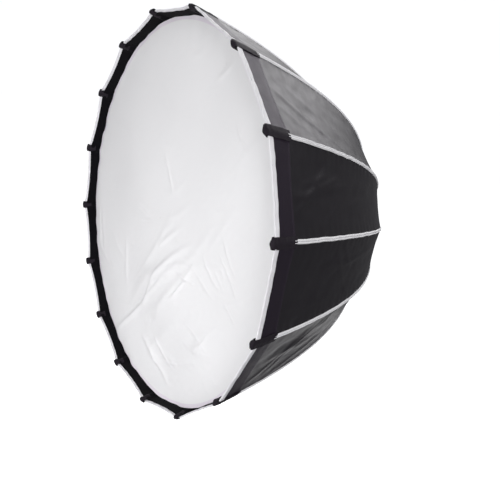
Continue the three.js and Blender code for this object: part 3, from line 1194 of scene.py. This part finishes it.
@dataclass
class SeamTrim:
    """What lies on each rib's seam: the white binding and the webbing pocket at the tip."""

    bow: Bow
    binding_start: float = 0.066
    half_width: float = 5.6 * MM
    ridge_at: float = 3.1 * MM
    ridge_height: float = 2.0 * MM
    pocket_half: float = 13.6 * MM
    pocket_length: float = 0.074
    pocket_inside: float = 0.026
    webbing: float = 1.5 * MM
    nose_radius: float = 7.9 * MM
    nose_middle: float = -5.4 * MM
    made: dict[int, list[bpy.types.Object]] = field(default_factory=dict)

    def binding(self, i: int) -> bpy.types.Object:
        """White binding along the seam: two rounded ridges with a stitched valley between.

        Height over the seam is two bells at the ridges plus a thin base, less the fall of the
        gores on either side, which is the side distance times the tangent of half the step.
        """
        s = np.linspace(self.binding_start, self.bow.length - 0.004, 150)[:, None]
        side = np.linspace(-self.half_width, self.half_width, 19)[None, :]
        s, side = np.broadcast_arrays(s, side)
        wobble = Ripples(500 + i, (0.04, 0.14), 0.0, 0.01, 12)(s, s * 0) * 0.00035
        fall = np.abs(side) * math.tan(self.bow.half)
        width = 1.5 * MM
        bells = sum(np.exp(-(((side - k * self.ridge_at) / width) ** 2)) for k in (-1, 1))
        rim = 1 - (np.abs(side) / self.half_width) ** 6
        top = 0.35 * MM + (0.75 * MM + self.ridge_height * bells) * rim - fall
        outer = self.bow.on_rib(i, s, side + wobble, top)
        inner = self.bow.on_rib(i, s, side + wobble, -0.5 * MM - fall)
        form = Form.shell(outer, inner, np.stack([side, s + 0.7 * i], -1))
        piece = dress(f"seam_binding_{i + 1:02d}", form, Finishes.SEAM)
        return self.keep(i, piece)

    def pocket_path(self) -> tuple[Array, Array, Array]:
        """The webbing's way over the tip.

        Returns:
            Distance from the rim, lift over the skin line, and how far round to the inside
            the webbing is, from 0 to 1. It runs straight outside, makes a half turn of
            nose_radius in front of the tip, and runs straight again inside.
        """
        outside = np.linspace(self.pocket_length, 0.004, 26)
        turn = np.radians(np.linspace(90, 270, 17))
        inside = np.linspace(0.004, self.pocket_inside, 9)
        radius, middle = self.nose_radius, self.nose_middle
        rise = soft_step(outside, self.pocket_length, self.pocket_length - 0.02)
        s = np.concatenate([outside, 1.2 * MM + radius * np.cos(turn), inside])
        under = np.full_like(inside, middle - radius)
        over = 1.9 * MM + 0.6 * MM * rise
        lift = np.concatenate([over, middle + radius * np.sin(turn), under])
        passing = soft_step(turn, math.pi * 0.6, math.pi * 1.4)
        inner = np.concatenate([np.zeros_like(outside), passing, np.ones_like(inside)])
        return s, lift, inner

    def pocket(self, i: int) -> bpy.types.Object:
        """Webbing pocket folded over the rib's tip, pinched in at its sides in front."""
        s, lift, inner = (v[:, None] for v in self.pocket_path())
        side = np.linspace(-self.pocket_half, self.pocket_half, 21)[None, :]
        s, lift, inner, side = np.broadcast_arrays(s, lift, inner, side)
        fall = (np.sqrt(side**2 + (3 * MM) ** 2) - 3 * MM) * math.tan(self.bow.half)
        tuck = 7.0 * MM * (1 - np.exp(-((side / 0.010) ** 2)))
        nose = np.clip(1 - np.abs(inner - 0.5) * 2, 0, 1)
        share = side / self.pocket_half
        mark = Ripples(700 + i, (0.015, 0.05))(s, side) * 0.0003
        drop = -fall * (1 - inner) + tuck * inner + mark
        pinch = side * (1 - 0.12 * nose)
        back = 3.2 * MM * share**2 * nose
        face = self.bow.on_rib(i, s + back, pinch, lift + drop)
        along, over = np.gradient(face, axis=0), np.gradient(face, axis=1)
        normal = unit(np.cross(along, over))
        out, _ = across_vectors(self.bow.rib_angle(i))
        normal = normal * np.sign((normal[4] @ out).mean())
        thin = self.webbing * (1 - 0.35 * share**8)
        reach = run_along(np.stack([s[:, 0], lift[:, 0]], -1))
        uv = grid_of(side, reach[:, None] + 0.13 * i)
        form = Form.shell(face, face - normal * thin[..., None], uv)
        piece = dress(f"tip_pocket_{i + 1:02d}", form, Finishes.POCKET)
        return self.keep(i, piece)

    def keep(self, i: int, piece: bpy.types.Object) -> bpy.types.Object:
        """Rides a piece on its rib and remembers it."""
        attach(piece, f"rib_{i + 1:02d}")
        self.made.setdefault(i, []).append(piece)
        LOG.info("%s rides on rib %d", piece.name, i + 1)
        return piece

    def build(self) -> None:
        """Makes the trim of every rib."""
        for i in range(self.bow.ribs):
            self.binding(i)
            self.pocket(i)


@dataclass
class Rods:
    """Glass-fibre ribs: a round rod with a moulded tip and an eye on the hinge wire."""

    bow: Bow
    radius: float = 3.0 * MM
    tip_radius: float = 4.5 * MM
    sleeve_wall: float = 0.8 * MM
    sleeve_length: float = 20 * MM
    eye_radius: float = 6.0 * MM
    eye_bore: float = 1.8 * MM
    eye_width: float = 6.0 * MM

    def rod(self, i: int) -> Form:
        """Rod and tip: a circle carried along the rib, swelling to a ball at its end."""
        t = np.concatenate([np.linspace(0.012, 0.985, 70), np.linspace(0.986, 1.0, 14)])
        at, along = self.bow.rod(t)
        tip = at[-1] + along[-1] * self.tip_radius
        ahead = np.hypot(*(at - tip).T)
        past = at[-1] + along[-1] * (self.tip_radius * np.linspace(0.15, 0.98, 8))[:, None]
        at, along = np.concatenate([at, past]), np.concatenate([along, np.tile(along[-1], (8, 1))])
        ahead = np.concatenate([ahead, np.hypot(*(past - tip).T)])
        ball = np.sqrt(np.clip(self.tip_radius**2 - (ahead - self.tip_radius) ** 2, 0, None))
        sleeve = (self.radius + self.sleeve_wall) * soft_step(ahead, 0.022, self.sleeve_length)
        shaft = np.maximum(np.maximum(self.radius, sleeve), ball)
        radius = np.where(ahead < self.tip_radius, ball, shaft)
        turn = np.linspace(0, 2 * math.pi, 14, endpoint=False)
        out, side = across_vectors(self.bow.rib_angle(i))
        centre = at[:, :1] * out + at[:, 1:] * AXIS
        normal = -along[:, 1:] * out + along[:, :1] * AXIS
        spoke = np.cos(turn)[None, :, None] * normal[:, None] + np.sin(turn)[None, :, None] * side
        sections = centre[:, None] + radius[:, None, None] * spoke
        uv = grid_of((turn * self.radius)[None, :], run_along(centre)[:, None])
        return Form.tube(sections, uv)

    def eye(self, i: int) -> Form:
        """Eye: a rounded ring round the hinge wire, its section turned about the wire."""
        out, side = across_vectors(self.bow.rib_angle(i))
        around = np.linspace(0, 2 * math.pi, 36, endpoint=False)
        corner = np.linspace(0, 2 * math.pi, 20, endpoint=False)
        middle = (self.eye_radius + self.eye_bore) / 2
        half = (self.eye_radius - self.eye_bore) / 2
        r = middle + half * rounded_square(np.cos(corner))
        x = self.eye_width / 2 * rounded_square(np.sin(corner))
        spoke = np.cos(around)[:, None] * out + np.sin(around)[:, None] * AXIS
        centre = self.bow.hinge_radius * out + self.bow.hinge_y * AXIS
        sections = centre + r[None, :, None] * spoke[:, None] + x[None, :, None] * side
        uv = grid_of(corner[None, :] * half, around[:, None] * middle)
        return Form.ring(sections, uv)

    def build(self) -> None:
        """Makes every rib, in place of its CAD node."""
        for i in range(self.bow.ribs):
            body = f"rib_{i + 1:02d}"
            rod = dress(f"rod_{i + 1:02d}", self.rod(i), Finishes.ROD)
            eye = dress(f"rod_eye_{i + 1:02d}", self.eye(i), Finishes.ROD)
            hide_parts(body)
            for piece in (rod, eye):
                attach(piece, body)
            LOG.info("%s and its eye ride on %s", rod.name, body)


DIFFUSER_CREASES = (
    # the long folds below the middle
    Creasing(
        1, 9, middle=(0.10, -0.22), scatter=(0.10, 0.12), heading=0.80, spread=0.25,
        length=(0.20, 0.42), width=(0.012, 0.026), height=(0.0015, 0.0040),
    ),
    # short folds at the lower right
    Creasing(
        2, 20, middle=(0.30, -0.20), scatter=(0.12, 0.14), heading=0.35, spread=0.9,
        length=(0.07, 0.20), width=(0.006, 0.013), height=(0.0006, 0.0022), bend=3,
    ),
    # fine folds close to the right edge
    Creasing(
        3, 10, middle=(0.40, -0.10), scatter=(0.05, 0.12), heading=-0.7, spread=0.35,
        length=(0.05, 0.13), width=(0.005, 0.009), height=(0.0008, 0.0018), bend=3,
    ),
    # folds at the lower left
    Creasing(
        4, 9, middle=(-0.30, -0.28), scatter=(0.10, 0.10), heading=-0.95, spread=0.5,
        length=(0.08, 0.24), width=(0.008, 0.016), height=(0.0005, 0.0016), bend=2,
    ),
    # scattered creases above the middle
    Creasing(
        5, 14, middle=(0.08, 0.18), scatter=(0.22, 0.16), heading=0.2, spread=1.4,
        length=(0.05, 0.14), width=(0.006, 0.014), height=(0.0004, 0.0014), bend=3,
    ),
    # creases along the bottom edge
    Creasing(
        6, 7, middle=(0.06, -0.47), scatter=(0.10, 0.035), heading=0.25, spread=0.6,
        length=(0.06, 0.15), width=(0.007, 0.012), height=(0.0012, 0.0030), bend=2,
    ),
)


@dataclass
class Diffuser:
    """The recessed white diffuser: one creased cloth, in eight sectors that fold with the ribs."""

    bow: Bow
    sectors: int = 8
    radius: float = 0.5805
    eye: float = 0.0012
    front: float = -0.833
    thickness: float = 1.0 * MM
    hem_width: float = 0.011
    columns: int = 84
    rows: int = 110
    keep: float = 0.19
    broad: float = 3.0 * MM
    crease_gain: float = 1.4
    crumple: tuple[float, float] = (0.1 * MM, 0.4 * MM)
    pucker: float = 1.2 * MM

    def relief(self, x: Array, z: Array) -> Array:
        """How far the cloth stands forward of its plane.

        Broad waves, long creases that grow towards the lower right, short crumples, and
        puckers by angle close to the edge.
        """
        radius, angle = np.hypot(x, z), np.arctan2(x, z)
        from_edge = np.clip(self.radius - radius, 0, None)
        low_right = soft_step(0.55 * x - 0.85 * z, -0.15, 0.45)
        broad = Ripples(3, (0.3, 0.6))(x, z) * self.broad
        crumple = Ripples(31, (0.03, 0.09), -0.5, 2.6).creases(x, z)
        creases = sum(family.at(x, z) for family in DIFFUSER_CREASES)
        least, more = self.crumple
        creases = self.crease_gain * creases + (least + more * low_right) * crumple
        rng = np.random.default_rng(5)
        counts = np.arange(18, 62, 4)
        phases = rng.uniform(0, 2 * math.pi, len(counts))
        pucker = np.cos(angle[..., None] * counts + phases).sum(-1) / math.sqrt(len(counts))
        held = 1 - np.exp(-from_edge / 0.035)
        return (broad + creases) * held + self.pucker * pucker * np.exp(-from_edge / 0.03)

    def face(self, x: Array, z: Array, lift: float) -> tuple[Array, Array]:
        """Points and unit normals of the cloth, from the slope of its relief.

        Args:
            x: across.
            z: up.
            lift: metres towards the front.

        Returns:
            Points and normals, which face the front.
        """
        step = 0.4 * MM
        height = self.relief(x, z)
        dx = (self.relief(x + step, z) - self.relief(x - step, z)) / (2 * step)
        dz = (self.relief(x, z + step) - self.relief(x, z - step)) / (2 * step)
        points = np.stack([x, self.front - height - lift, z], -1)
        return points, unit(np.stack([-dx, -np.ones_like(x), -dz], -1))

    def sheet(
        self,
        k: int,
        name: str,
        span: tuple[float, float],
        lifts: tuple[float, float],
        rows: int,
        finish: Finishes = Finishes.DIFFUSER,
    ) -> bpy.types.Object:
        """One sector of cloth between two radii, with continuous normals at its seams.

        Args:
            k: the sector, from 0.
            name: the piece's name.
            span: its inner and outer radius.
            lifts: lift of its front and of its back face.
            rows: rows of faces from the middle to the edge.
            finish: its finish.

        Returns:
            The piece, on its body and folding with the ribs.
        """
        angle = self.bow.rib_angle(k * self.bow.ribs // self.sectors)
        turn = np.linspace(-self.half, self.half, self.columns + 1)[None, :] + angle
        radius = np.linspace(span[0], span[1], rows + 1)[:, None]
        x, z = radius * np.sin(turn), radius * np.cos(turn)
        (front, facing), (back, _) = (self.face(x, z, lift) for lift in lifts)
        uv = np.stack([x, z], -1)
        piece = dress(name, Form.shell(front, back, uv), finish, sharp=None)
        normals = np.concatenate([facing.reshape(-1, 3), -facing.reshape(-1, 3)])
        piece.data.normals_split_custom_set_from_vertices(normals.astype(np.float32))
        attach(piece, f"diffuser_{k + 1:02d}")
        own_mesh(piece)
        LOG.info("%s rides on diffuser %d", piece.name, k + 1)
        return piece

    @property
    def half(self) -> float:
        """Half the angle of a sector."""
        return math.pi / self.sectors

    def build(self) -> None:
        """Makes the sectors with their edge hems."""
        whole = (self.eye, self.radius)
        border = (self.radius - self.hem_width, self.radius + 0.5 * MM)
        for k in range(self.sectors):
            name = f"diffuser_cloth_{k + 1:02d}"
            cloth = self.sheet(k, name, whole, (0.0, -self.thickness), self.rows)
            name = f"diffuser_hem_{k + 1:02d}"
            hem = self.sheet(k, name, border, (0.9 * MM, -1.4 * MM), 5, Finishes.EDGE)
            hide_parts(f"diffuser_sector_{k + 1:02d}")


@dataclass
class Hub:
    """Hub ring, cover, bayonet insert, hinge wire, screws and lock knob."""

    screws: int = 4

    def build(self) -> None:
        """Finishes the CAD nodes with broken edges."""
        machined("bayonet_insert", "mount", Finishes.INSERT, 0.5 * MM)
        machined("hub_ring", "hub", Finishes.HUB, 0.6 * MM)
        machined("front_cover", "hub", Finishes.HUB, 0.5 * MM)
        machined("hinge_wire", "hub", Finishes.WIRE, 0.2 * MM, 1)
        machined("lock_knob", "lock_knob", Finishes.KNOB, 0.9 * MM, 3)
        for i in range(self.screws):
            machined(f"cover_screw_{i + 1:02d}", "hub", Finishes.SCREW, 0.3 * MM)


# ---- camera, floor and light --------------------------------------------------------------------


@dataclass(frozen=True)
class Light:
    """A soft rectangular light aimed at a point."""

    name: str
    at: tuple[float, float, float]
    aim: tuple[float, float, float]
    size: tuple[float, float]
    watts: float

    def build(self) -> None:
        """Makes the light, facing its aim and not seen by the camera."""
        data = bpy.data.lights.new(self.name, "AREA")
        data.shape, data.size, data.size_y = "RECTANGLE", *self.size
        data.energy = self.watts
        lamp = into_scene(self.name, data)
        back = unit(np.array(self.at) - np.array(self.aim))
        level = [0.0, 1.0, 0.0] if abs(back[2]) > 0.9 else [0.0, 0.0, 1.0]
        right = unit(np.cross(level, back))
        axes = np.stack([right, np.cross(back, right), back], -1)
        lamp.matrix_world = Matrix.Translation(self.at) @ Matrix(axes.tolist()).to_4x4()
        lamp.visible_camera = False


LIGHTS = (
    Light("overhead", (-0.6, 0.9, 2.6), (0.0, -0.4, 0.0), (3.2, 2.6), 72),
    Light("front", (0.3, -2.4, -0.2), (0.15, -0.8, -0.2), (1.1, 1.1), 20.5),
    Light("side", (3.2, -1.55, 0.9), (0.3, -0.5, 0.0), (1.8, 1.8), 55),
    Light("back", (-0.6, 2.9, 2.2), (0.3, -0.5, 0.3), (2.0, 1.6), 9),
    Light("bounce", (-0.1, 0.35, -1.15), (0.5, -0.7, -0.26), (0.9, 0.9), 3),
)


@dataclass
class Studio:
    """Camera, pale floor, soft lights and white surround."""

    place: tuple[float, float, float] = (1.2296, -1.4720, 0.3596)
    heading: float = 50.19
    pitch: float = -16.85
    roll: float = 10.60
    lens: float = 32.13
    floor_height: float = -1.25
    floor_size: float = 60.0
    surround: tuple[float, float, float] = (0.97, 0.975, 1.0)
    seen: float = 1.04
    felt: float = 0.15

    def camera(self) -> None:
        """Camera: turned by heading from +Y towards -X, tipped by pitch, then rolled."""
        data = bpy.data.cameras.new("camera")
        data.lens, data.sensor_width = self.lens, 36.0
        camera = into_scene("camera", data)
        camera.matrix_world = (
            Matrix.Translation(self.place)
            @ Matrix.Rotation(math.radians(self.heading), 4, "Z")
            @ Matrix.Rotation(math.radians(90 + self.pitch), 4, "X")
            @ Matrix.Rotation(math.radians(self.roll), 4, "Z")
        )
        bpy.context.scene.camera = camera

    def floor(self) -> None:
        """A plain pale floor far below the box."""
        half = self.floor_size / 2
        corners = [(-half, -half), (half, -half), (half, half), (-half, half)]
        mesh = bpy.data.meshes.new("floor")
        mesh.from_pydata([(x, y, self.floor_height) for x, y in corners], [], [(0, 1, 2, 3)])
        n = Nodes(bpy.data.materials.new("floor_paint"))
        where, x, y, _ = n.place()
        mottle = n.noise(where, 3, 4)
        far = ((x * x + y * y) ** 0.5).above(1.5, 9.0)
        paint = {
            "Base Color": n.mix(mottle, rgba((0.9, 0.9, 0.9)), rgba((0.93, 0.93, 0.93))),
            "Roughness": 0.8,
            "Emission Color": n.mix(far, rgba((0.95, 0.95, 0.96)), rgba((1.0, 1.0, 1.0))),
            "Emission Strength": 1.0,
        }
        mesh.materials.append(n.surface(paint))
        floor = into_scene("floor", mesh)
        floor.visible_glossy = floor.visible_diffuse = False

    def world(self) -> None:
        """A white surround that is seen brighter than it lights."""
        n = Nodes(bpy.data.worlds.new("surround"))
        straight = n.node("ShaderNodeLightPath", {}, {}).outputs["Is Camera Ray"]
        felt, seen = (
            n.node(
                "ShaderNodeBackground", {}, {"Color": rgba(self.surround), "Strength": strength}
            ).outputs[0]
            for strength in (self.felt, self.seen)
        )
        mix = n.node("ShaderNodeMixShader", {}, {0: straight, 1: felt, 2: seen})
        n.node("ShaderNodeOutputWorld", {}, {"Surface": mix.outputs[0]})
        bpy.context.scene.world = n.owner

    def build(self) -> None:
        """Sets the whole scene."""
        self.camera()
        self.floor()
        for light in LIGHTS:
            light.build()
        self.world()
        view = bpy.context.scene.view_settings
        view.view_transform, view.look = "Standard", "None"


def main() -> None:
    """Builds the scene in order."""
    logging.basicConfig(level=logging.INFO, format="%(name)s: %(message)s")
    Studio().build()
    bow = Bow()
    skin, trim = Skin(bow), SeamTrim(bow)
    skin.build()
    trim.build()
    skin.declare(trim.made)
    Rods(bow).build()
    Diffuser(bow).build()
    Hub().build()


if __name__ == "__main__":
    main()
